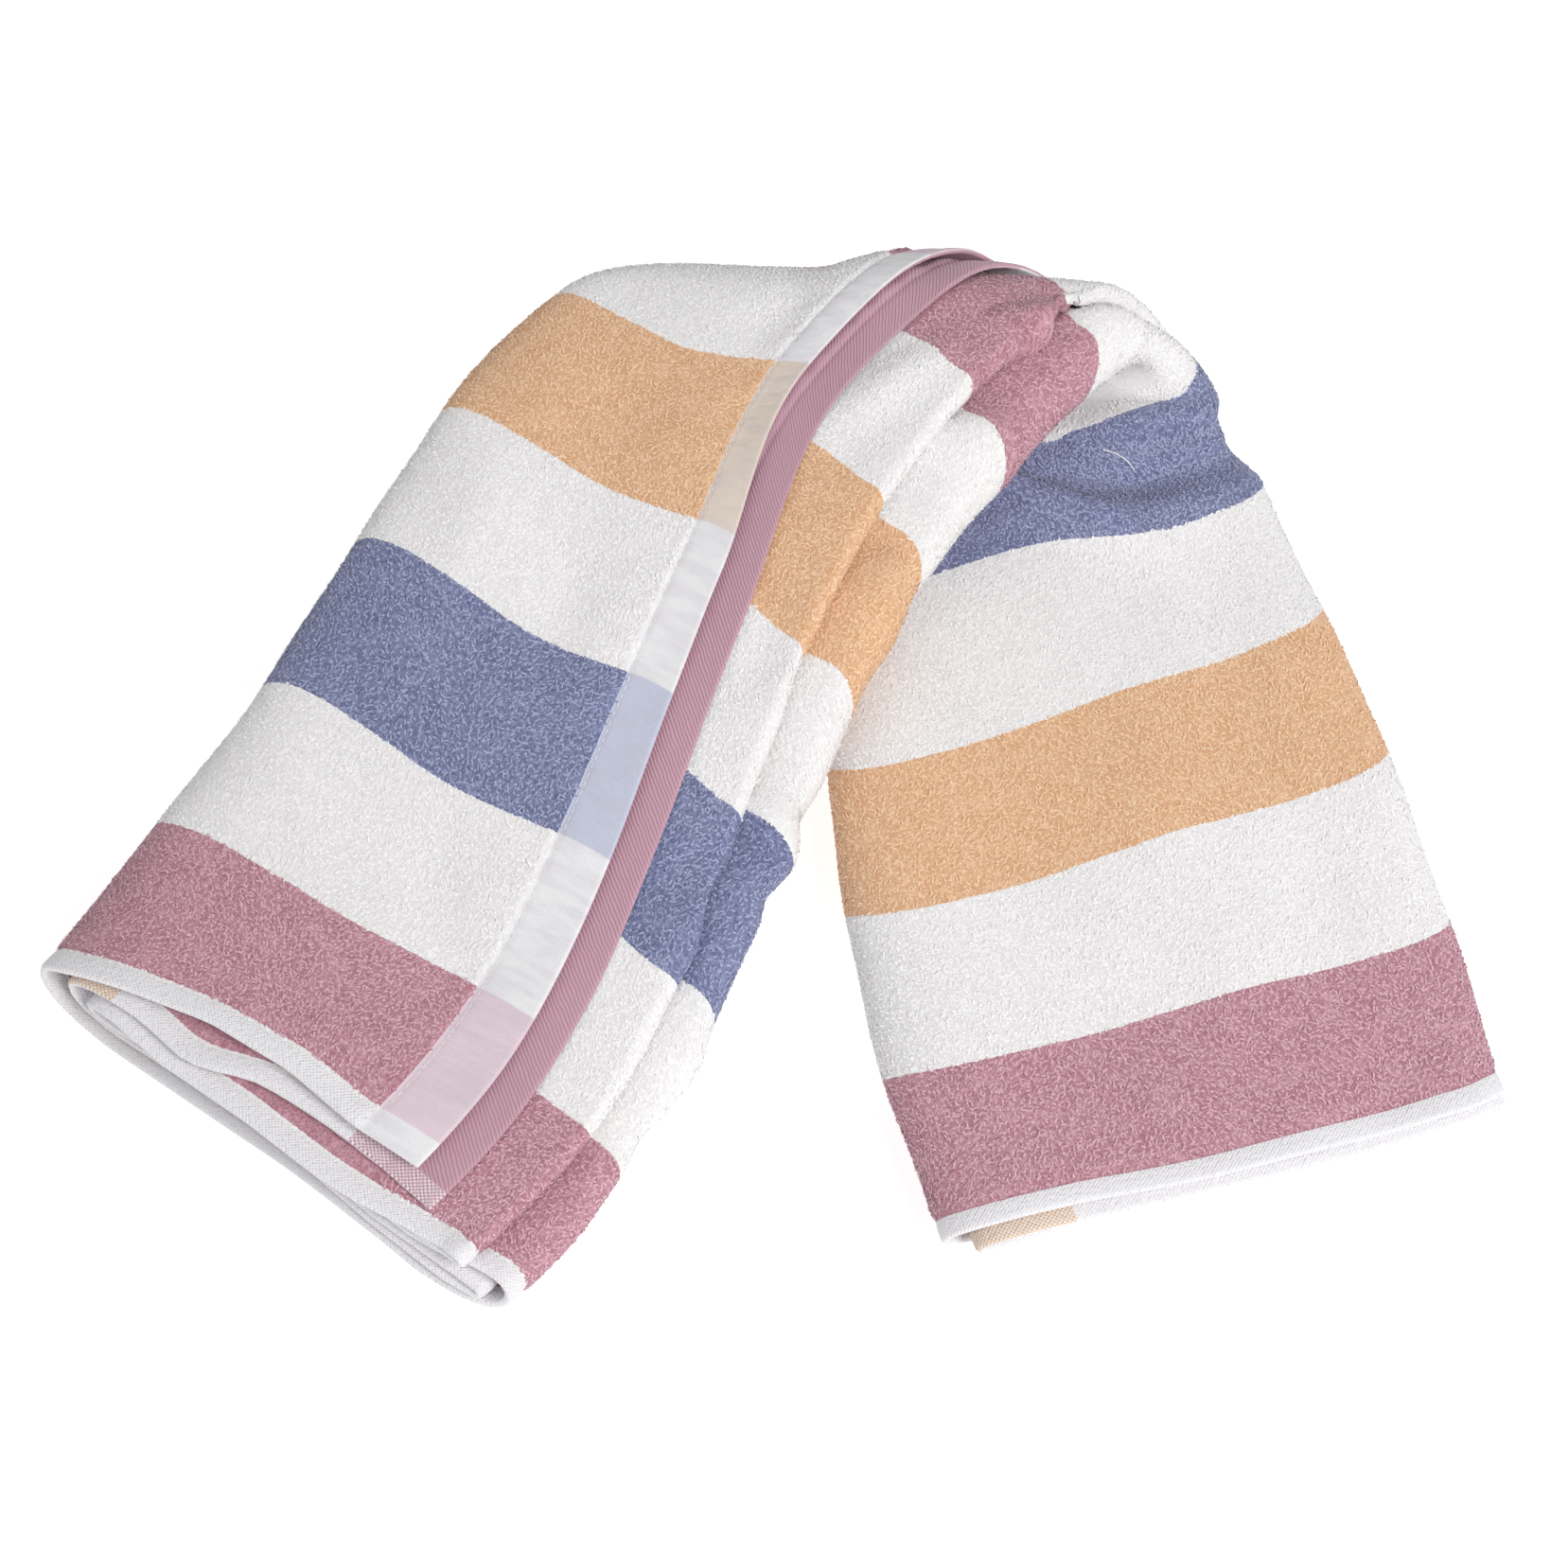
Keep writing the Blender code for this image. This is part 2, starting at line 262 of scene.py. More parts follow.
def place(s, across, height, sway):
    """Folded strip to world. s runs down the strip from 0 at the left foot to WIDTH at the right
    foot; a layer's length is shared out evenly over its left leg, turn and right leg. The turn is
    half a circle about the ridge that slants along it, the left leg falls by a smooth step, and the
    right leg lies flat and upside down."""
    before = through(across, RIDGE, 1)
    ridge_x = through(across, RIDGE, 2)
    ridge_y = through(across, RIDGE, 3)
    step = 0.001
    way_x = through(across + step, RIDGE, 2) - through(across - step, RIDGE, 2)
    way_y = through(across + step, RIDGE, 3) - through(across - step, RIDGE, 3)
    size = np.hypot(way_x, way_y)
    way_x, way_y = way_x / size, way_y / size
    w = across / ROLL_TWO
    inner = INNER_RADIUS * (1 + RADIUS_GROWTH * (w - 0.5))
    radius = inner + height
    lean = np.hypot(1.0, SLANT)
    left_long = before - np.pi * inner / 2
    right_long = WIDTH - before - np.pi * inner / 2
    left_own = left_long - LEFT_SLIDE * sway
    right_own = right_long - RIGHT_SLIDE * sway
    turn_own = np.pi * radius * lean
    run = s / WIDTH * (left_own + turn_own + right_own)
    # hidden layers stretch or draw in, so that each foot's edges come out nearly even
    left_end = left_long - LEFT_DRAW * (1 - soft((w - 0.45) / 0.55)) - LEFT_EVEN * sway
    left_end = np.minimum(left_end, left_own)
    right_end = right_long - (RIGHT_EVEN[0] * (1 - w) + RIGHT_EVEN[1] * w) * sway
    left_part = np.clip(left_own - run, 0.0, None) / left_long * left_end / left_own
    right_part = np.clip(run - left_own - turn_own, 0.0, None) / right_long * right_end / right_own
    angle = (np.clip((run - left_own) / turn_own, 0.0, 1.0) - 0.5) * np.pi
    on_left = run < left_own
    on_right = run > left_own + turn_own
    top_x = ridge_x + way_x * (inner + sway) * angle * SLANT
    top_y = ridge_y + way_y * (inner + sway) * angle * SLANT
    back = radius * np.cos(angle) * (1 - RIDGE_PRESS * (1 - soft(w / 0.6)))
    turn_x = top_x - way_y * back
    turn_y = top_y + way_x * back
    left_way = ((way_y - SLANT * way_x) / lean, (-way_x - SLANT * way_y) / lean)
    right_way = ((way_y + SLANT * way_x) / lean, (-way_x + SLANT * way_y) / lean)
    left_x, left_y = leg(left_part, across, top_x, top_y, left_way, LEFT_FOOT, LEFT_PULL)
    right_x, right_y = leg(right_part, across, top_x, top_y, right_way, RIGHT_FOOT, RIGHT_PULL)
    x = np.where(on_left, left_x, np.where(on_right, right_x, turn_x))
    y = np.where(on_left, left_y, np.where(on_right, right_y, turn_y))
    start, end = (FALL[0, k] * (1 - w) + FALL[1, k] * w for k in range(2))
    left_z = (2 * inner + STACK) * (1 - soft((left_part - start) / (end - start))) + height
    closer = 1 - FOOT_CLOSER * soft((right_part - CLOSER_FROM) / (1 - CLOSER_FROM))
    right_z = PITCH / 2 + (STACK - height - PITCH / 2) * closer
    turn_z = inner + STACK - radius * np.sin(angle)
    # the stack leans: each leg's low layers draw in under it, away from the gap
    low = np.clip(STACK / 2 - height, 0.0, None)
    x = x + RIGHT_LEAN * height * soft(2 * right_part) - LEFT_LEAN * low * soft(2 * left_part)
    tuck = TUCK * soft((across - TUCK_FROM) / TUCK_REACH) * hill(left_part, TUCK_MIDDLE, TUCK_HALF)
    x = x - TUCK_SHARE * tuck
    y = y + TUCK_SHARE * tuck
    z = np.where(on_left, left_z, np.where(on_right, right_z, turn_z))
    return np.stack([x, y, z], -1) - SHIFT


# Where the pattern has slipped along the strip: the part of the cloth that it centres on, its
# reach along the cloth, its middle and reach down the strip, and the slip
PARTS = {"hem": 0.0, "edge": 0.115, "plain": 0.205, "roll two": 0.325, "roll one": 0.620}
SLIPS = [
    ("hem", 0.075, 0.10, 0.30, 0.006),
    ("hem", 0.070, 0.300, 0.085, 0.013),
    ("edge", 0.090, 0.330, 0.060, 0.010),
    ("edge", 0.070, 0.245, 0.050, -0.004),
    ("roll one", 0.050, 0.12, 0.22, -0.005),
    ("roll two", 0.050, 0.19, 0.15, 0.008),
    ("hem", 0.110, 0.330, 0.070, 0.011),
    ("plain", 0.080, 0.470, 0.065, -0.018),
]


def slip(s, t):
    """How far each point of the cloth has slipped up the strip: a sum of broad smooth hills, which
    fade out over the last 2 cm to each foot."""
    total = 0.0
    for part, reach, middle, half, amount in SLIPS:
        total = total + amount * hill(t, PARTS[part], reach) * hill(s, middle, half)
    ends = soft(s / 0.02) * soft((WIDTH - s) / 0.02)
    return total * ends


# The left foot's edge, along the cloth from hem A: how far it draws up the leg, and how far it lifts
FOOT_EDGE = np.array([
    (0.000, 0.0100, 0.0000), (0.022, 0.0095, 0.0008), (0.047, 0.0127, 0.0026),
    (0.078, 0.0110, 0.0034), (0.109, 0.0045, 0.0016), (0.127, 0.0010, 0.0000),
    (0.170, 0.0000, 0.0000), (0.230, 0.0000, 0.0000), (0.285, 0.0034, 0.0000),
    (0.302, 0.0034, 0.0000), (0.312, 0.0012, 0.0000), (0.322, 0.0010, 0.0000),
    (0.335, 0.0006, 0.0000), (0.360, 0.0020, 0.0000), (0.460, 0.0030, 0.0000),
    (0.490, 0.0030, 0.0000), (0.612, 0.0000, 0.0000), (0.640, -0.0020, 0.0000),
    (0.660, -0.0045, 0.0000), (0.735, -0.0045, 0.0000), (0.757, -0.0015, 0.0000),
    (0.790, 0.0025, 0.0000), (1.060, 0.0030, 0.0000), (1.095, 0.0020, 0.0000),
    (1.125, 0.0020, 0.0000), (1.145, -0.0010, -0.0010), (1.155, 0.0010, 0.0006),
    (1.168, 0.0060, 0.0012), (1.190, 0.0082, 0.0000), (1.212, 0.0070, -0.0006),
    (1.234, 0.0040, 0.0000),
])
# The right foot's edge, likewise
RIGHT_EDGE = np.array([
    (0.000, 0.0000, 0.0000), (0.100, 0.0000, 0.0000), (0.130, 0.0028, 0.0000),
    (0.190, 0.0036, 0.0000), (0.230, 0.0018, 0.0000), (0.270, 0.0024, 0.0000),
    (0.300, 0.0034, 0.0000), (0.330, 0.0034, 0.0000), (0.360, 0.0010, 0.0000),
    (0.400, 0.0000, 0.0000), (0.920, 0.0000, 0.0000), (0.945, -0.0016, 0.0010),
    (0.980, -0.0034, 0.0010), (1.000, -0.0032, 0.0008), (1.020, -0.0028, 0.0006),
    (1.060, -0.0021, 0.0000), (1.080, -0.0025, 0.0000), (1.095, -0.0030, 0.0000),
    (1.130, -0.0016, 0.0000), (1.170, 0.0000, 0.0000), (1.234, 0.0000, 0.0000),
])
# Local pushes: middle and reach along the cloth, middle and reach down the strip, then x, y, z
PUSHES = [
    (0.328, 0.034, 0.000, 0.060, 0.0050, 0.0026, 0.0006),  # the second roll's corner stands out
    (0.617, 0.014, 0.000, 0.080, -0.0036, 0.0010, 0.0004),
    (0.140, 0.060, 0.590, 0.110, -0.0050, 0.0000, 0.0000),  # the right leg's inner side leans out
    (0.322, 0.045, 0.700, 0.060, -0.0030, 0.0000, 0.0000),
    (0.322, 0.060, 0.600, 0.110, 0.0032, 0.0000, 0.0000),
]
# Pushes that take every layer along: reach across the stack from its left folds, middle and reach
# down the strip, then x, y, z
STACK_PUSHES = [
    (0.085, 0.345, 0.090, 0.0000, -0.0050, -0.0030),  # the ridge sinks at its left end
    (0.070, 0.150, 0.110, 0.0050, -0.0010, 0.0000),  # the left folds draw in
    (0.060, 0.000, 0.050, 0.0052, -0.0034, 0.0000),
]
# Soft creases: from one point of the cloth (s, t) to another, reach on the side towards the left
# foot and on the other side, and rise
CREASES = [
    (0.4300, 0.262, 0.4440, 0.334, 0.0160, 0.0034, 0.0052),  # right leg, under the turned-over rolls
    (0.4500, 0.250, 0.4620, 0.325, 0.0060, 0.0090, -0.0028),
    (0.4700, 0.235, 0.4780, 0.320, 0.0070, 0.0150, 0.0036),
    (0.4430, 0.214, 0.4650, 0.244, 0.0040, 0.0130, 0.0056),
    (0.4650, 0.244, 0.4850, 0.276, 0.0040, 0.0110, 0.0032),
    (0.3780, 0.347, 0.3980, 0.330, 0.0060, 0.0030, 0.0034),  # across the rolls at the turn
    (0.3920, 0.352, 0.4120, 0.334, 0.0060, 0.0060, -0.0022),
    (0.3530, 0.628, 0.3640, 0.608, 0.0080, 0.0035, 0.0042),
    (0.3700, 0.630, 0.3780, 0.610, 0.0045, 0.0060, -0.0040),
    (0.3000, 0.354, 0.3300, 0.330, 0.0100, 0.0060, 0.0036),
    (0.2620, 0.352, 0.2720, 0.322, 0.0070, 0.0070, -0.0024),
    (0.2400, 0.352, 0.2500, 0.322, 0.0090, 0.0060, 0.0020),
    (0.2800, 0.652, 0.3300, 0.634, 0.0100, 0.0100, 0.0024),
    (0.1500, 0.350, 0.1580, 0.318, 0.0050, 0.0090, -0.0026),  # buckles of the rolls on the left leg
    (0.1800, 0.350, 0.1830, 0.318, 0.0060, 0.0080, -0.0022),
    (0.1660, 0.348, 0.1700, 0.318, 0.0075, 0.0050, 0.0034),
    (0.1360, 0.642, 0.1500, 0.612, 0.0090, 0.0060, -0.0022),
    (0.1180, 0.642, 0.1300, 0.612, 0.0090, 0.0070, 0.0024),
    (0.2050, 0.648, 0.2150, 0.612, 0.0100, 0.0080, -0.0020),
    (0.0950, 0.346, 0.1050, 0.318, 0.0090, 0.0070, 0.0022),
    (0.0700, 0.346, 0.0780, 0.318, 0.0080, 0.0080, -0.0020),
    (0.5200, 0.190, 0.6900, 0.215, 0.0150, 0.0150, -0.0014),  # slack runs down the right leg
    (0.5000, 0.235, 0.6800, 0.262, 0.0140, 0.0140, 0.0016),
    (0.5200, 0.285, 0.6900, 0.290, 0.0110, 0.0110, -0.0012),
    (0.0600, 0.030, 0.1100, 0.060, 0.0120, 0.0120, -0.0012),  # and down the left leg
    (0.1300, 0.045, 0.2400, 0.065, 0.0140, 0.0140, -0.0014),
    (0.1200, 0.090, 0.2500, 0.095, 0.0130, 0.0130, 0.0016),
    (0.2600, 0.020, 0.3400, 0.060, 0.0130, 0.0130, -0.0016),
]


def foot_edge(s, t, column):
    """One column of both feet's tables at t, smoothed over 8 mm of cloth, fading out up the strip.
    Column 1 is a draw along the strip, which is the other way at the right foot, and 2 a lift."""
    left = right = 0.0
    for share, off in ((0.25, -0.004), (0.5, 0.0), (0.25, 0.004)):
        left = left + share * np.interp(t + off, FOOT_EDGE[:, 0], FOOT_EDGE[:, column])
        right = right + share * np.interp(t + off, RIGHT_EDGE[:, 0], RIGHT_EDGE[:, column])
    reach, way = (0.09, -1.0) if column == 1 else (0.06, 1.0)
    return left * (1 - soft(s / reach)) + way * right * (1 - soft((WIDTH - s) / 0.06))


def relief(s, t):
    """Rise of the cloth along its own normal: creases, slack, and puckers beside a hem's stitches.
    A crease is a bell across its line, exp of minus the distance over the half width squared."""
    # slack: winding waves about 7 cm long each way
    rise = SLACK * np.sin(s * 95 + 3 * np.sin(t * 21)) * np.sin(t * 83 + 2 * np.sin(s * 17) + 1.0)
    for s0, t0, s1, t1, before, after, height in CREASES:
        long_s, long_t = s1 - s0, t1 - t0
        length2 = long_s ** 2 + long_t ** 2
        part = ((s - s0) * long_s + (t - t0) * long_t) / length2
        near = np.clip(part, 0.0, 1.0)
        off2 = (s - s0 - near * long_s) ** 2 + (t - t0 - near * long_t) ** 2
        half = np.where((s - s0) * abs(long_t) < (t - t0) * long_s * np.sign(long_t), before, after)
        rise = rise + height * np.exp(-off2 / half ** 2) * (1 - 0.35 * np.cos(2 * np.pi * near))
    # puckers and wrinkles: sines down the strip whose spacing varies, each within a hill
    from_end = np.minimum(t, CLOTH_RUN - t)
    pucker = np.sin(s * 2 * np.pi / PUCKER_EVERY + 2 * np.sin(s * 60))
    pucker = hill(from_end, HEM + 0.0045, 0.0065) * pucker
    wrinkle = np.sin(s * 2 * np.pi / WRINKLE_EVERY + 3 * np.sin(s * 47))
    wrinkle = hill(from_end, HEM * 0.5, HEM * 0.6) * wrinkle
    return rise + PUCKER * pucker + WRINKLE * wrinkle


def cloth_point(s, t):
    """A point of the cloth's middle surface: s down the strip, t along the cloth from hem A. It is
    the section's point at t, slipped, placed by the fold and pushed by the hills of both tables."""
    across = np.interp(t, PATH_ALONG, PATH[:, 0])
    height = np.interp(t, PATH_ALONG, PATH[:, 1])
    sway = np.interp(t, PATH_ALONG, PATH_SWAY)
    moved = s + slip(s, t) + foot_edge(s, t, 1)
    share = np.clip((across - LEFT_BEND) / (HEM_A - LEFT_BEND), 0.0, 1.1)
    near = soft((moved - DRAW_FROM) / DRAW_REACH)
    top = np.abs(height - level(1)) < PITCH / 4
    second = np.abs(height - level(2)) < PITCH / 4
    across = across - near * share * (DRAW_A * top + DRAW_B * second)
    point = place(moved, across, height, sway)
    point[..., 2] += foot_edge(s, t, 2)
    for middle_t, reach_t, middle_s, reach_s, x, y, z in PUSHES:
        push = hill(t, middle_t, reach_t) * hill(s, middle_s, reach_s)
        point += push[..., None] * np.array([x, y, z])
    for reach, middle_s, reach_s, x, y, z in STACK_PUSHES:
        push = hill(across, LEFT_BEND, reach) * hill(s, middle_s, reach_s)
        point += push[..., None] * np.array([x, y, z])
    return point


def rim(distance, reach):
    """A rounded edge: 0 at the rim and 1 from reach on, as the square root of one less the square
    of what is left to go."""
    d = 1.0 - np.clip(distance / reach, 0.0, 1.0)
    return np.sqrt(np.clip(1.0 - d * d, 0.0, 1.0))


def thickness(s, t):
    """Thin at a selvage and a hem, pinched at the stitches, full where there is pile: smooth steps
    from one to the next, times a quarter-round rim on every side."""
    from_side = np.minimum(s, WIDTH - s)
    from_end = np.minimum(t, CLOTH_RUN - t)
    pile = soft((from_side - SELVAGE) / PILE_SIDE) * soft((from_end - HEM) / PILE_END)
    pinch = 1.0 - PINCH * hill(from_end, HEM - 0.0006, 0.0018)
    on_selvage = 1 - soft((from_side - SELVAGE + 0.0012) / 0.0024)
    firm = FLAT + FIRMER * on_selvage * soft((from_end - HEM) / 0.0024)
    full = np.maximum(firm, TERRY * pile) * pinch
    return full * (THIN + (1 - THIN) * rim(from_side, ROUND_SIDE) * rim(from_end, ROUND_END))


def normals(grid):
    """Unit normals of a grid, from its differences along both ways; they point to the face side."""
    down = np.gradient(grid, axis=0)
    along = np.gradient(grid, axis=1)
    n = np.cross(down, along)
    return n / np.maximum(np.linalg.norm(n, axis=-1, keepdims=True), 1e-12)


# ---------------------------------------------------------------- pieces
def linear(hex_colour):
    """sRGB hex to linear RGBA."""
    value = np.array([int(hex_colour[i:i + 2], 16) / 255 for i in (0, 2, 4)])
    low = value / 12.92
    high = ((value + 0.055) / 1.055) ** 2.4
    return tuple(np.where(value <= 0.04045, low, high).tolist()) + (1.0,)


def mesh_object(name, points, faces, uv=None, slots=None, index=None):
    """A mesh from arrays; uv is one pair for each vertex, and index the material of each face."""
    mesh = bpy.data.meshes.new(name)
    mesh.vertices.add(len(points))
    mesh.vertices.foreach_set("co", points.astype(np.float32).ravel())
    size = faces.shape[1]
    mesh.loops.add(faces.size)
    mesh.loops.foreach_set("vertex_index", faces.astype(np.int32).ravel())
    mesh.polygons.add(len(faces))
    mesh.polygons.foreach_set("loop_start", np.arange(0, faces.size, size, dtype=np.int32))
    mesh.polygons.foreach_set("use_smooth", np.ones(len(faces), bool))
    for material in slots or []:
        mesh.materials.append(material)
    if index is not None:
        mesh.polygons.foreach_set("material_index", index.astype(np.int32))
    mesh.update(calc_edges=True)
    if uv is not None:
        layer = mesh.uv_layers.new(name="cloth")
        layer.data.foreach_set("uv", uv[faces.ravel()].astype(np.float32).ravel())
    mesh.validate()
    obj = bpy.data.objects.new(name, mesh)
    bpy.context.scene.collection.objects.link(obj)
    return obj


# Which material each face of the towel has: its place in the list that cloth_sheet is given
PILE, FLAT_HEM, TWILL_HEM, EDGE, BAND = range(5)

DOWN = down_strip()
ALONG = columns()
MIDDLE = cloth_point(DOWN[:, None], ALONG[None, :])
MIDDLE = MIDDLE + normals(MIDDLE) * relief(DOWN[:, None], ALONG[None, :])[..., None]
MIDDLE[..., 2] = np.maximum(MIDDLE[..., 2], LOWEST)
OUTWARD = normals(MIDDLE)
HALF = thickness(DOWN[:, None], ALONG[None, :])[..., None] / 2


def cloth_sheet(name, slots):
    """The towel: its face and its back, each half a thickness from the middle surface along the
    normal, and a rim that closes them."""
    s, t = DOWN, ALONG
    out = OUTWARD * HALF
    rows, cols = len(s), len(t)
    points = np.concatenate([(MIDDLE + out).reshape(-1, 3), (MIDDLE - out).reshape(-1, 3)])
    grid = np.arange(rows * cols).reshape(rows, cols)
    face = np.stack([grid[:-1, :-1], grid[1:, :-1], grid[1:, 1:], grid[:-1, 1:]], -1)
    back = face[..., ::-1] + rows * cols
    ring = np.concatenate([grid[0, :-1], grid[:-1, -1], grid[-1, :0:-1], grid[:0:-1, 0]])
    after = np.roll(ring, -1)
    edge = np.stack([ring, after, after + rows * cols, ring + rows * cols], -1)
    faces = np.concatenate([face.reshape(-1, 4), back.reshape(-1, 4), edge])
    uv = np.stack(np.broadcast_arrays(t[None, :], s[:, None]), -1).reshape(-1, 2)
    mid_s = (s[:-1] + s[1:])[:, None] / 2
    mid_t = (t[:-1] + t[1:])[None, :] / 2
    side = np.minimum(mid_s, WIDTH - mid_s) < SELVAGE
    end = np.minimum(mid_t, CLOTH_RUN - mid_t) < HEM
    band = (mid_t > CLOTH_RUN - BORDER[0]) & (mid_t < CLOTH_RUN - BORDER[1])
    twill = (mid_t < HEM) | (mid_t > CLOTH_RUN - TWILL)
    ground = np.where(side, EDGE, PILE)
    front_index = np.where(end, FLAT_HEM, ground)
    back_index = np.where(twill, TWILL_HEM, np.where(band, BAND, ground))
    ring_side = np.concatenate([np.full(cols - 1, EDGE), np.full(rows - 1, TWILL_HEM)])
    index = np.concatenate([front_index.ravel(), back_index.ravel(), ring_side, ring_side])
    return mesh_object(name, points, faces, np.concatenate([uv, uv]), slots, index)


def sample(grid, s, t):
    """A grid of the sheet read between its rows and columns, each way in proportion."""
    i = np.clip(np.interp(s, DOWN, np.arange(len(DOWN))), 0, len(DOWN) - 1.001)
    j = np.clip(np.interp(t, ALONG, np.arange(len(ALONG))), 0, len(ALONG) - 1.001)
    i0, j0 = i.astype(int), j.astype(int)
    a, b = (i - i0)[:, None], (j - j0)[:, None]
    near = grid[i0, j0] * (1 - b) + grid[i0, j0 + 1] * b
    far = grid[i0 + 1, j0] * (1 - b) + grid[i0 + 1, j0 + 1] * b
    return near * (1 - a) + far * a


def local_frame(s, t, side):
    """Point of the cloth's skin with unit vectors down the strip, along the cloth and outward."""
    out = sample(OUTWARD, s, t) * side
    out = out / np.linalg.norm(out, axis=1, keepdims=True)
    point = sample(MIDDLE, s, t) + out * sample(HALF, s, t)
    down = sample(MIDDLE, s + 0.001, t) - sample(MIDDLE, s - 0.001, t)
    down = down - out * (down * out).sum(1, keepdims=True)
    down = down / np.linalg.norm(down, axis=1, keepdims=True)
    return point, down, np.cross(out, down), out


def strips(name, centre, wide, place_uv, lift, slots):
    """Narrow strips: centre is strip by station by xyz, wide the half width vector at each, and
    place_uv the cloth's own coordinates at each."""
    count, stations = centre.shape[:2]
    points = np.stack([centre - wide, centre + wide], 2).reshape(-1, 3)
    ids = np.arange(count * stations * 2).reshape(count, stations, 2)
    faces = np.stack([ids[:, :-1, 0], ids[:, :-1, 1], ids[:, 1:, 1], ids[:, 1:, 0]], -1).reshape(-1, 4)
    uv = np.repeat(place_uv.reshape(-1, 2), 2, axis=0)
    obj = mesh_object(name, points, faces, uv, slots)
    value = obj.data.attributes.new("lift", "FLOAT", "POINT")
    value.data.foreach_set("value", np.repeat(lift.reshape(-1), 2).astype(np.float32))
    return obj


def loops(name, patches, slots, seed):
    """Pile: one small curl of yarn every pitch, each an arch of four stations lying over sideways.
    Height is top times sin(pi u), and the sideways bow is the same shape, for u from 0 to 1.
    Neighbours turn nearly the same way, which wanders slowly over the cloth."""
    rng = np.random.default_rng(seed)
    roots = []
    for t0, t1, s0, s1 in patches:
        ts = np.arange(t0, t1, LOOP_PITCH)
        ss = np.arange(s0, s1, LOOP_PITCH)
        spot = np.stack(np.meshgrid(ts, ss, indexing="ij"), -1).reshape(-1, 2)
        roots.append(spot + rng.uniform(-0.5, 0.5, spot.shape) * LOOP_PITCH)
    root = np.concatenate(roots)
    inside = np.abs(root[:, 1] - WIDTH / 2) < WIDTH / 2 - SELVAGE - 0.0004
    inside &= np.minimum(root[:, 0], CLOTH_RUN - root[:, 0]) > HEM + 0.0008
    root = root[inside]
    t, s = root[:, 0], root[:, 1]
    point, down, along, out = local_frame(s, t, 1.0)
    count = len(root)
    turn = 0.9 * np.sin(s * 61 + 2.0 * np.sin(t * 43)) + rng.normal(0.0, 0.75, count)
    way = down * np.cos(turn)[:, None] + along * np.sin(turn)[:, None]
    across_way = np.cross(out, way)
    long = rng.uniform(*LOOP_LONG, count)[:, None, None]
    bow = rng.uniform(-LOOP_BOW, LOOP_BOW, count)[:, None, None]
    top = rng.uniform(*LOOP_HIGH, count)[:, None, None]
    wide = rng.uniform(*LOOP_HALF, count)[:, None, None]
    u = np.linspace(0.0, 1.0, 4)[None, :, None]
    arch = np.sin(np.pi * u)
    centre = (point[:, None] + way[:, None] * long * (u - 0.5) + across_way[:, None] * bow * arch
              + out[:, None] * (top * arch - LOOP_ROOT))
    turned = across_way[:, None] * long - way[:, None] * bow * np.pi * np.cos(np.pi * u)
    turned = turned / np.linalg.norm(turned, axis=-1, keepdims=True)
    lift = np.broadcast_to(arch[..., 0], (count, 4))
    lean = long * (u - 0.5) * 0.5
    uv = root[:, None] + np.concatenate([lean * np.sin(turn)[:, None, None],
                                         lean * np.cos(turn)[:, None, None]], -1)
    return strips(name, centre, turned * wide, uv, lift, slots)


def stitch_row(name, t, side, slots):
    """A hem's row of lock stitches: 2 mm of thread, then a gap of 0.8 mm. Each one's ends are
    pulled in by the fourth power of the distance from its middle."""
    s = np.arange(0.0025, WIDTH - 0.0025, STITCH_EVERY)
    at = np.full(len(s), t)
    u = np.linspace(-1.0, 1.0, 4)[None, :, None]
    point, down, along, out = local_frame(s, at, side)
    centre = (point[:, None] + down[:, None] * STITCH_HALF_LONG * u
              + out[:, None] * (0.00018 - 0.0003 * u ** 4))
    wide = np.broadcast_to(along[:, None] * STITCH_HALF_WIDE, centre.shape)
    uv = np.broadcast_to(np.stack([at, s], 1)[:, None], (len(s), 4, 2))
    return strips(name, centre, wide, uv, np.ones((len(s), 4)), slots)


def tube(name, line, radius, sides, slots):
    """A thread: a ring of points about each point of a line, at the radius times the cosine and
    sine of an angle along two unit vectors square to the line."""
    ahead = np.gradient(line, axis=0)
    ahead = ahead / np.linalg.norm(ahead, axis=1, keepdims=True)
    first = np.cross(ahead, (0.0, 0.0, 1.0))
    first = first / np.linalg.norm(first, axis=1, keepdims=True)
    second = np.cross(ahead, first)
    a = (np.arange(sides) * 2 * np.pi / sides)[None, :, None]
    ring = line[:, None] + radius * (first[:, None] * np.cos(a) + second[:, None] * np.sin(a))
    ids = np.arange(len(line) * sides).reshape(len(line), sides)
    after = np.roll(ids, -1, axis=1)
    faces = np.stack([ids[:-1], after[:-1], after[1:], ids[1:]], -1).reshape(-1, 4)
    return mesh_object(name, ring.reshape(-1, 3), faces, None, slots)


# ---------------------------------------------------------------- materials
# Colours are sRGB hex values. Patterns are in millimetres of the cloth's own surface.
STRIPE_NAMES = "pink white blue white apricot white pink white blue white apricot white pink".split()
# Pile colours: the curls' tops lightened with painted light, and the ground between them darkened with
# painted shade
PAINTED_LIT_TIPS = {"white": "f4f2f2", "pink": "d4a6b2", "blue": "979cbe", "apricot": "efcaa8"}
PAINTED_SHADED_ROOTS = {"white": "e7e5e5", "pink": "a6707e", "blue": "61678c", "apricot": "d6a378"}
# Loop yarn: a painted highlight over each loop's top, and painted shade at its root
YARN_TOP_HIGHLIGHT = {"white": "f7f5f5", "pink": "dcb3bf", "blue": "aab0cf", "apricot": "f3d1af"}
YARN_ROOT_SHADE = {"white": "ecebeb", "pink": "b78592", "blue": "767ca2", "apricot": "e2b48a"}
TINTS = {"white": "ebeaec", "pink": "e0ccd5", "blue": "c4c9dc", "apricot": "e3d5c7"}

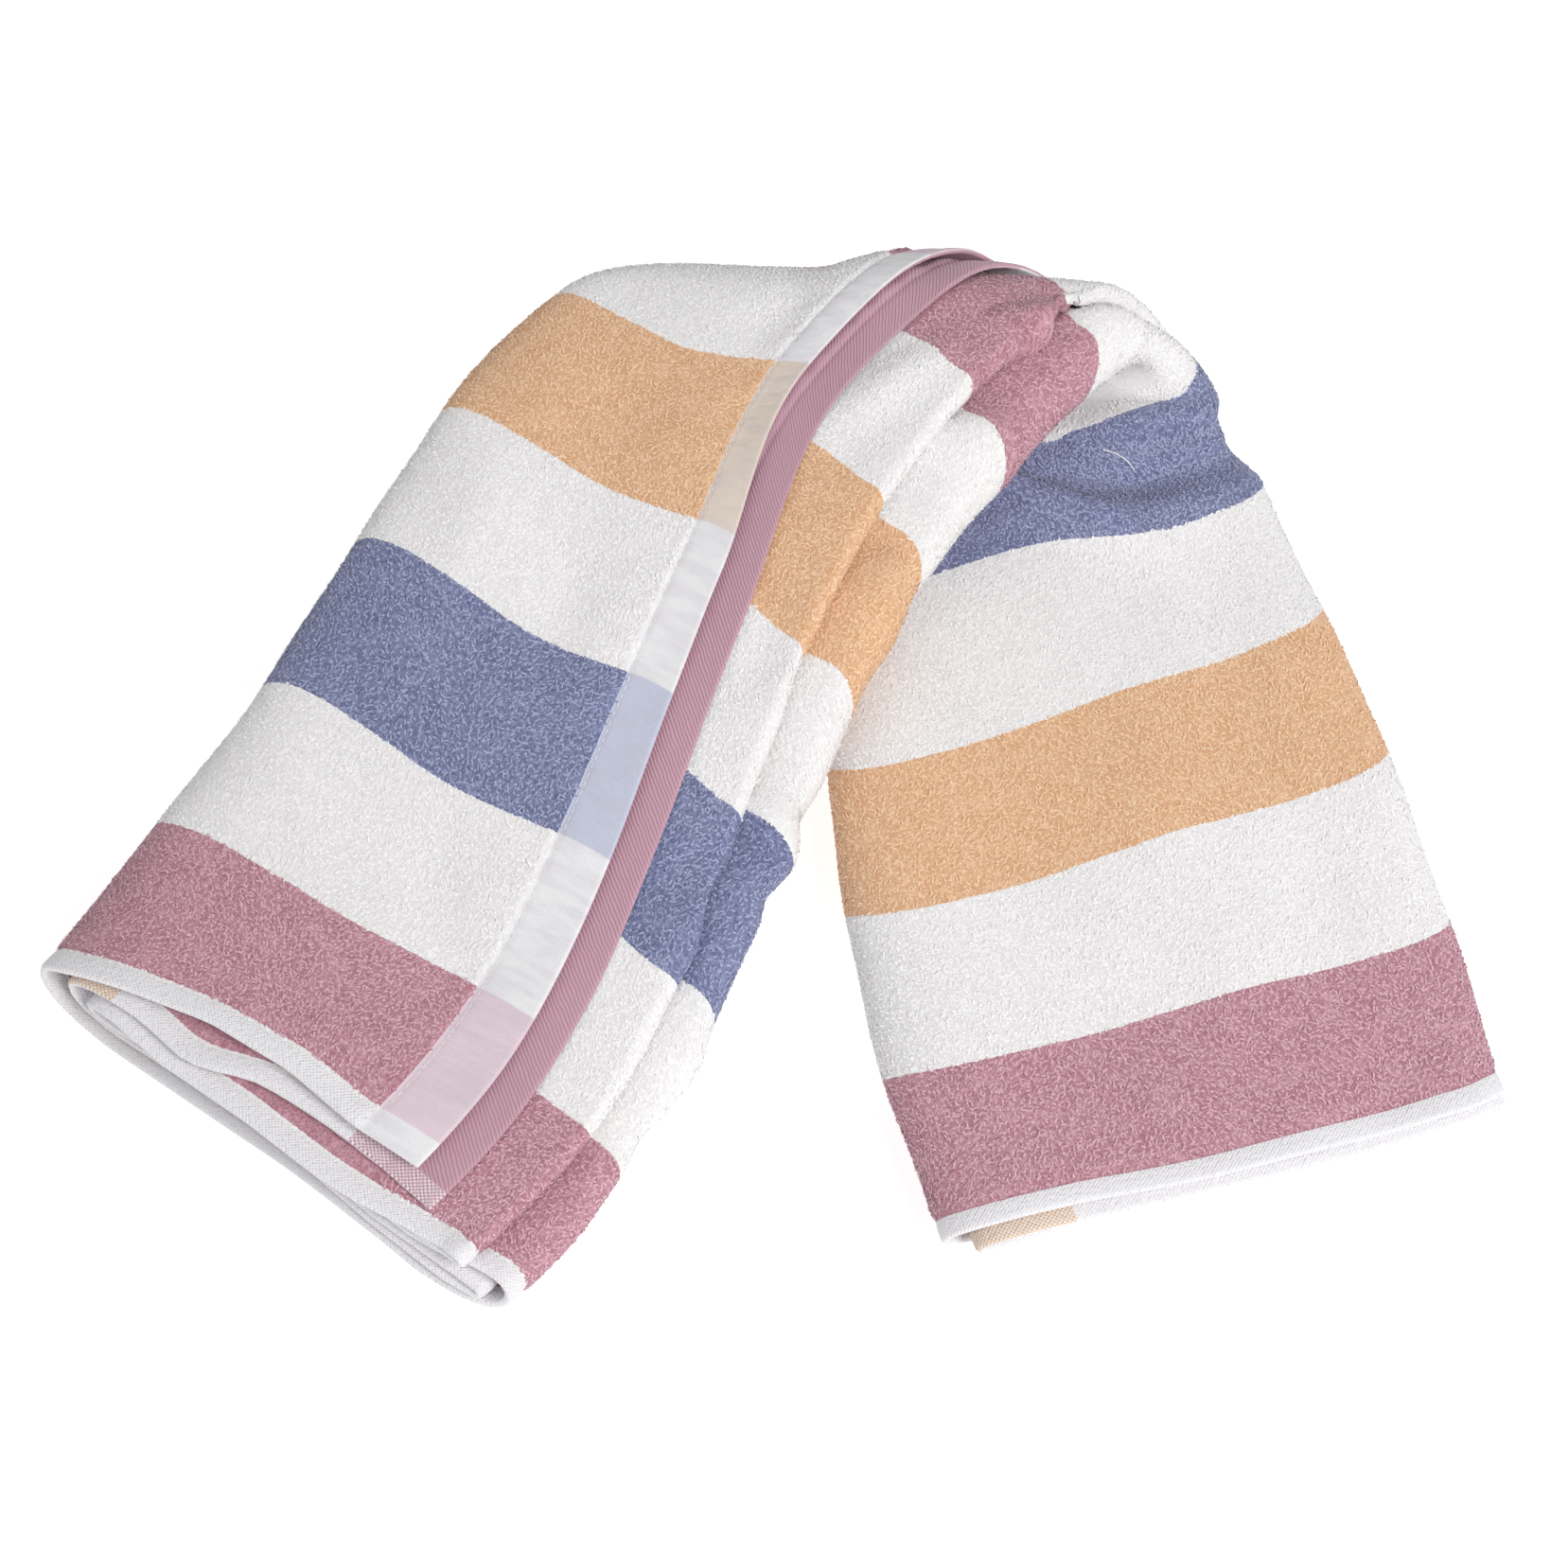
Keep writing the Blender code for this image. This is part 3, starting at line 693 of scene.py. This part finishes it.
# Node kinds and settings that come up often
MATH, MIX, RANGE = "ShaderNodeMath", "ShaderNodeMix", "ShaderNodeMapRange"
SUM, LESS, TIMES = {"operation": "ADD"}, {"operation": "SUBTRACT"}, {"operation": "MULTIPLY"}
TIMES_PLUS, SINE = {"operation": "MULTIPLY_ADD"}, {"operation": "SINE"}
COLOURS = {"data_type": "RGBA"}
SMOOTH = {"interpolation_type": "SMOOTHSTEP"}


def new_material(name, roughness, sheen):
    """A cloth: no metal, rough, and a soft white sheen where the fibres catch the light."""
    material = bpy.data.materials.new(name)
    material.use_nodes = True
    shader = material.node_tree.nodes["Principled BSDF"]
    shader.inputs["Roughness"].default_value = roughness
    shader.inputs["Specular IOR Level"].default_value = 0.25
    shader.inputs["Sheen Weight"].default_value = sheen
    shader.inputs["Sheen Roughness"].default_value = 0.6
    return material, material.node_tree, shader


def add(tree, kind, settings=None, inputs=None, out=0):
    """Adds one node and returns one of its outputs. Settings are its properties; an input is a
    socket to link, a hex colour, or a number or vector."""
    node = tree.nodes.new(kind)
    for key, value in (settings or {}).items():
        setattr(node, key, value)
    for key, value in (inputs or {}).items():
        if isinstance(value, bpy.types.NodeSocket):
            tree.links.new(value, node.inputs[key])
        else:
            node.inputs[key].default_value = linear(value) if isinstance(value, str) else value
    return node.outputs[out]


def on_cloth(tree):
    """The cloth's own coordinates in millimetres: along, across the stripes, and both as a vector."""
    uv = add(tree, "ShaderNodeUVMap", {"uv_map": "cloth"})
    mm = add(tree, "ShaderNodeMapping", {"vector_type": "POINT"},
             {"Vector": uv, "Scale": (1000, 1000, 1)})
    apart = add(tree, "ShaderNodeSeparateXYZ", inputs={0: mm}).node
    return apart.outputs[0], apart.outputs[1], mm


def mottle(tree, mm, per_mm, detail=1.0, winding=0.0, at=(0, 0, 0), squash=(1, 1, 1)):
    """Uneven patches 1 / per_mm millimetres across: a noise, read at a place of its own."""
    moved = add(tree, "ShaderNodeMapping", None, {"Vector": mm, "Location": at, "Scale": squash})
    return add(tree, "ShaderNodeTexNoise", {"noise_dimensions": "2D"},
               {"Vector": moved, "Scale": per_mm, "Detail": detail, "Distortion": winding})


def curl(tree, mm, per_mm, at, width):
    """Winding loops of pile: 1 along each line where a noise crosses its middle value, and falling
    smoothly to 0 where the noise is width away from it."""
    off = add(tree, MATH, LESS, {0: mottle(tree, mm, per_mm, 0.0, 0.5, at), 1: 0.5})
    off = add(tree, MATH, {"operation": "ABSOLUTE"}, {0: off})
    return add(tree, RANGE, SMOOTH,
               {"Value": off, "From Min": 0.0, "From Max": width, "To Min": 1.0, "To Max": 0.0})


def crossed(tree, along, down, along_mm, down_mm):
    """Threads that cross: the sine of each way times the other, with its period in millimetres."""
    warp = add(tree, MATH, SINE, {0: add(tree, MATH, TIMES, {0: along, 1: 2 * np.pi / along_mm})})
    weft = add(tree, MATH, SINE, {0: add(tree, MATH, TIMES, {0: down, 1: 2 * np.pi / down_mm})})
    return add(tree, MATH, TIMES, {0: warp, 1: weft})


def stripes(tree, down, shades):
    """A ramp across the towel's width that steps from stripe to stripe; down is in millimetres."""
    share = add(tree, MATH, {"operation": "DIVIDE"}, {0: down, 1: WIDTH * 1000})
    ramp = add(tree, "ShaderNodeValToRGB", inputs={"Fac": share}).node
    ramp.color_ramp.interpolation = "CONSTANT"
    stops = ramp.color_ramp.elements
    edges = [0.0] + [(SELVAGE + k * STRIPE) / WIDTH for k in range(len(STRIPE_NAMES) + 1)]
    names = ["white"] + STRIPE_NAMES + ["white"]
    stops[0].position, stops[0].color = edges[0], linear(shades[names[0]])
    stops[1].position, stops[1].color = edges[1], linear(shades[names[1]])
    for position, name in zip(edges[2:], names[2:]):
        stops.new(position).color = linear(shades[name])
    return ramp.outputs[0]


def dress(tree, shader, colour, rise, depth_mm, strength=1.0):
    """Gives the shader its colour, and its relief as a bump so many millimetres deep."""
    tree.links.new(colour, shader.inputs["Base Color"])
    normal = add(tree, "ShaderNodeBump", None,
                 {"Height": rise, "Strength": strength, "Distance": depth_mm / 1000})
    tree.links.new(normal, shader.inputs["Normal"])


def cotton_terry():
    """Uncut cotton loops, which look like light curls 1.3 to 1.6 mm across over darker roots, in
    clumps of 9 mm, with ragged edges to the stripes. The colour follows the relief: the curls and
    the clumps' raised parts carry painted light, and the roots between them painted shade."""
    material, tree, shader = new_material("cotton_terry", 0.95, 0.15)
    _, down, mm = on_cloth(tree)
    large = curl(tree, mm, 0.62, (0, 0, 0), 0.15)
    small = add(tree, MATH, TIMES, {0: curl(tree, mm, 0.78, (31, 17, 0), 0.13), 1: 0.85})
    curls = add(tree, MATH, {"operation": "MAXIMUM"}, {0: large, 1: small})
    clumps = mottle(tree, mm, 0.11, 2.0, at=(9, 4, 0))
    ragged = add(tree, MATH, TIMES_PLUS, {0: mottle(tree, mm, 1.3, at=(5, 77, 0)), 1: 0.8, 2: -0.4})
    edge = add(tree, MATH, SUM, {0: down, 1: ragged})
    clumped = add(tree, MATH, TIMES_PLUS, {0: clumps, 1: 0.5, 2: -0.2})
    lit = add(tree, MATH, TIMES_PLUS, {0: curls, 1: 0.7, 2: clumped})
    low, top = stripes(tree, edge, PAINTED_SHADED_ROOTS), stripes(tree, edge, PAINTED_LIT_TIPS)
    # The curls and the clumps' raised parts take the tips' painted light, and the ground between them
    # takes the roots' painted shade
    colour = add(tree, MIX, COLOURS, {0: lit, 6: low, 7: top}, 2)
    rise = add(tree, MATH, TIMES_PLUS, {0: clumps, 1: 1.2, 2: curls})
    dress(tree, shader, colour, rise, 0.30, 0.55)
    return material


def cotton_loop_yarn():
    """The pile's soft spun yarn in the stripe's colour: darker where each loop is rooted, which is
    painted shade, and lighter over its top, which is a painted highlight where it catches the light."""
    material, tree, shader = new_material("cotton_loop_yarn", 0.95, 0.15)
    _, down, mm = on_cloth(tree)
    lift = add(tree, "ShaderNodeAttribute", {"attribute_name": "lift"}, out="Fac")
    chance = add(tree, MATH, TIMES_PLUS, {0: mottle(tree, mm, 3.1, 0.0, at=(7, 5, 0)), 1: 1.2, 2: -0.6})
    # How far a point lies up the loop's arch sets how much painted highlight or painted shade it gets
    lit = add(tree, MATH, TIMES_PLUS, {0: lift, 1: 0.9, 2: chance})
    lit = add(tree, RANGE, SMOOTH, {"Value": lit})
    low, top = stripes(tree, down, YARN_ROOT_SHADE), stripes(tree, down, YARN_TOP_HIGHLIGHT)
    tree.links.new(add(tree, MIX, COLOURS, {0: lit, 6: low, 7: top}, 2), shader.inputs["Base Color"])
    return material


def white_thread():
    """Plain white sewing cotton, smoother than the pile."""
    material, _, shader = new_material("white_sewing_cotton", 0.7, 0.1)
    shader.inputs["Base Color"].default_value = linear("eceaee")
    return material


def hem_flat_weave():
    """Plain-woven cotton, flat and matt: pale tints of the stripes, threads 0.8 to 0.9 mm apart,
    which is coarser than real ones so that they show, and faint cross wrinkles with painted shade
    in them."""
    material, tree, shader = new_material("hem_flat_weave", 0.85, 0.15)
    along, down, mm = on_cloth(tree)
    weave = crossed(tree, along, down, 0.9, 0.8)
    creases = mottle(tree, mm, 0.16, 2.0, at=(3, 3, 0), squash=(0.35, 1.6, 1))
    tint = stripes(tree, add(tree, MATH, TIMES_PLUS, {0: weave, 1: 0.3, 2: down}), TINTS)
    fold_shade = add(tree, RANGE, SMOOTH,
                {"Value": creases, "From Min": 0.3, "From Max": 0.7, "To Max": 0.24})
    shade = add(tree, MATH, TIMES_PLUS, {0: weave, 1: 0.10, 2: fold_shade})
    thread_rise = add(tree, MATH, TIMES, {0: weave, 1: 0.2})
    rise = add(tree, MATH, TIMES_PLUS, {0: creases, 1: 2.5, 2: thread_rise})
    # The tint darkens towards c2bac6 with the threads' pattern, and with painted shade in the wrinkles
    dress(tree, shader, add(tree, MIX, COLOURS, {0: shade, 6: tint, 7: "c2bac6"}, 2), rise, 0.30)
    return material


def hem_twill():
    """Pink weft-faced cotton twill: slanting ribs 1.3 mm apart with a soft shine, and white specks
    1.5 mm apart over the selvage."""
    material, tree, shader = new_material("hem_twill", 0.8, 0.2)
    along, down, mm = on_cloth(tree)
    slant = add(tree, MATH, TIMES_PLUS, {0: along, 1: 0.75, 2: down})
    slant = add(tree, MATH, SUM, {0: slant, 1: mottle(tree, mm, 0.2, at=(8, 1, 0))})
    rib = add(tree, MATH, SINE, {0: add(tree, MATH, TIMES, {0: slant, 1: 2 * np.pi / 1.6})})
    ribs = add(tree, RANGE, SMOOTH, {"Value": rib, "From Min": -0.9, "From Max": 0.7})
    pink = add(tree, MIX, COLOURS, {0: ribs, 6: "bd909f", 7: "cba3b1"}, 2)
    dots = add(tree, RANGE, SMOOTH,
               {"Value": crossed(tree, along, down, 1.5, 1.5), "From Min": -0.15, "From Max": 0.25})
    speckled = add(tree, MIX, COLOURS, {0: dots, 6: "c799aa", 7: "e9e0e4"}, 2)
    from_far_side = add(tree, MATH, LESS, {0: WIDTH * 1000, 1: down})
    from_side = add(tree, MATH, {"operation": "MINIMUM"}, {0: down, 1: from_far_side})
    inside = add(tree, RANGE, SMOOTH, {"Value": from_side, "From Min": SELVAGE * 1000 - 0.3,
                                       "From Max": SELVAGE * 1000 + 0.3})
    dress(tree, shader, add(tree, MIX, COLOURS, {0: inside, 6: speckled, 7: pink}, 2), ribs, 0.22)
    return material


def selvage_weave(name, low, high, period_mm):
    """Firm cotton weave, fuzzy and matt: nearly plain for the white edge, and with coloured specks
    where a border band crosses it."""
    material, tree, shader = new_material(name, 0.9, 0.2)
    along, down, mm = on_cloth(tree)
    specks = crossed(tree, along, down, period_mm, period_mm)
    share = add(tree, RANGE, SMOOTH, {"Value": specks, "From Min": -0.3, "From Max": 0.4})
    rise = add(tree, MATH, TIMES_PLUS, {0: specks, 1: 0.2, 2: mottle(tree, mm, 0.7, 2.0)})
    dress(tree, shader, add(tree, MIX, COLOURS, {0: share, 6: low, 7: high}, 2), rise, 0.5)
    return material


towel = cloth_sheet("towel_cloth", [
    cotton_terry(), hem_flat_weave(), hem_twill(),
    selvage_weave("selvage", "e2e0e3", "edebee", 1.3),
    selvage_weave("border_birdseye", "d6b69b", "ebe2db", 1.5),
])
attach(towel, "root")
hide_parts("towel")

# Pile where the cloth's face shows. Each patch is from and to along the cloth, then down the strip
yarn = [cotton_loop_yarn()]
pile = [
    loops("pile_upper_leg", [(HEM, 0.176, 0.005, 0.42)], yarn, 11),
    loops("pile_rolls", [(0.314, 0.358, 0.005, 0.45), (0.613, 0.655, 0.005, 0.43)], yarn, 12),
    loops("pile_lower_leg", [(0.110, 0.336, 0.42, 0.695)], yarn, 13),
]
thread = [white_thread()]
seams = [stitch_row("stitches_hem_a", HEM - STITCH_IN, 1.0, thread),
         stitch_row("stitches_hem_b", CLOTH_RUN - TWILL + STITCH_IN, -1.0, thread)]

# A stray thread 14 mm long on the right leg, bowed like part of a sine
loose_s = np.linspace(0.4400, 0.4500, 12)
loose_t = 0.272 + 0.0022 * np.sin(np.linspace(0.3, 2.9, 12)) + np.linspace(0.0, 0.010, 12)
loose_at, _, _, loose_out = local_frame(loose_s, loose_t, 1.0)
loose = tube("loose_thread", loose_at + loose_out * 0.0008, 0.00028, 6, thread)
extras = pile + seams + [loose]
for piece in extras:
    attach(piece, "root")

# ---------------------------------------------------------------- floor, light, camera
FLOOR = 6  # half of each side
floor_mesh = bpy.data.meshes.new("floor")
corners = [(-FLOOR, -FLOOR, 0), (FLOOR, -FLOOR, 0), (FLOOR, FLOOR, 0), (-FLOOR, FLOOR, 0)]
floor_mesh.from_pydata(corners, [], [(0, 1, 2, 3)])
floor = bpy.data.objects.new("floor", floor_mesh)
bpy.context.scene.collection.objects.link(floor)
# White paper, matt, which glows a little so that it stays plain and pale all over
floor_material, _, floor_shader = new_material("paper_floor", 0.9, 0.0)
floor_shader.inputs["Base Color"].default_value = linear("c8c8c8")
floor_shader.inputs["Emission Color"].default_value = (1.0, 1.0, 1.0, 1.0)
floor_shader.inputs["Emission Strength"].default_value = 0.70
floor_mesh.materials.append(floor_material)


def softbox(name, place_at, size, watts):
    """A round soft light that shines at the origin."""
    light = bpy.data.lights.new(name, "AREA")
    light.shape = "DISK"
    light.size = size
    light.energy = watts
    obj = bpy.data.objects.new(name, light)
    bpy.context.scene.collection.objects.link(obj)
    obj.location = place_at
    x, y, z = place_at
    obj.rotation_euler = (np.arctan2(np.hypot(x, y), z), 0, np.arctan2(x, -y))


softbox("key", (1.0, -0.9, 1.5), 1.0, 26.5)
softbox("fill", (-0.8, -0.9, 1.6), 1.6, 6)
world = bpy.data.worlds.new("studio")
world.use_nodes = True
sky = world.node_tree.nodes["Background"]
sky.inputs["Color"].default_value = (1, 1, 1, 1)
sky.inputs["Strength"].default_value = 0.41
bpy.context.scene.world = world
bpy.context.scene.view_settings.view_transform = "Standard"

ELEVATION = np.radians(62.1)
DISTANCE = 0.984
LOOK = (0.0063, -0.0066, 0.020)
FOCAL = 69.4  # millimetres, on a sensor 36 mm wide
lens = bpy.data.cameras.new("camera")
lens.lens = FOCAL
lens.sensor_width = 36.0
lens.clip_start = 0.02
camera = bpy.data.objects.new("camera", lens)
bpy.context.scene.collection.objects.link(camera)
camera.location = (LOOK[0], LOOK[1] - DISTANCE * np.cos(ELEVATION),
                   LOOK[2] + DISTANCE * np.sin(ELEVATION))
camera.rotation_euler = (np.pi / 2 - ELEVATION, 0.0, 0.0)
bpy.context.scene.camera = camera
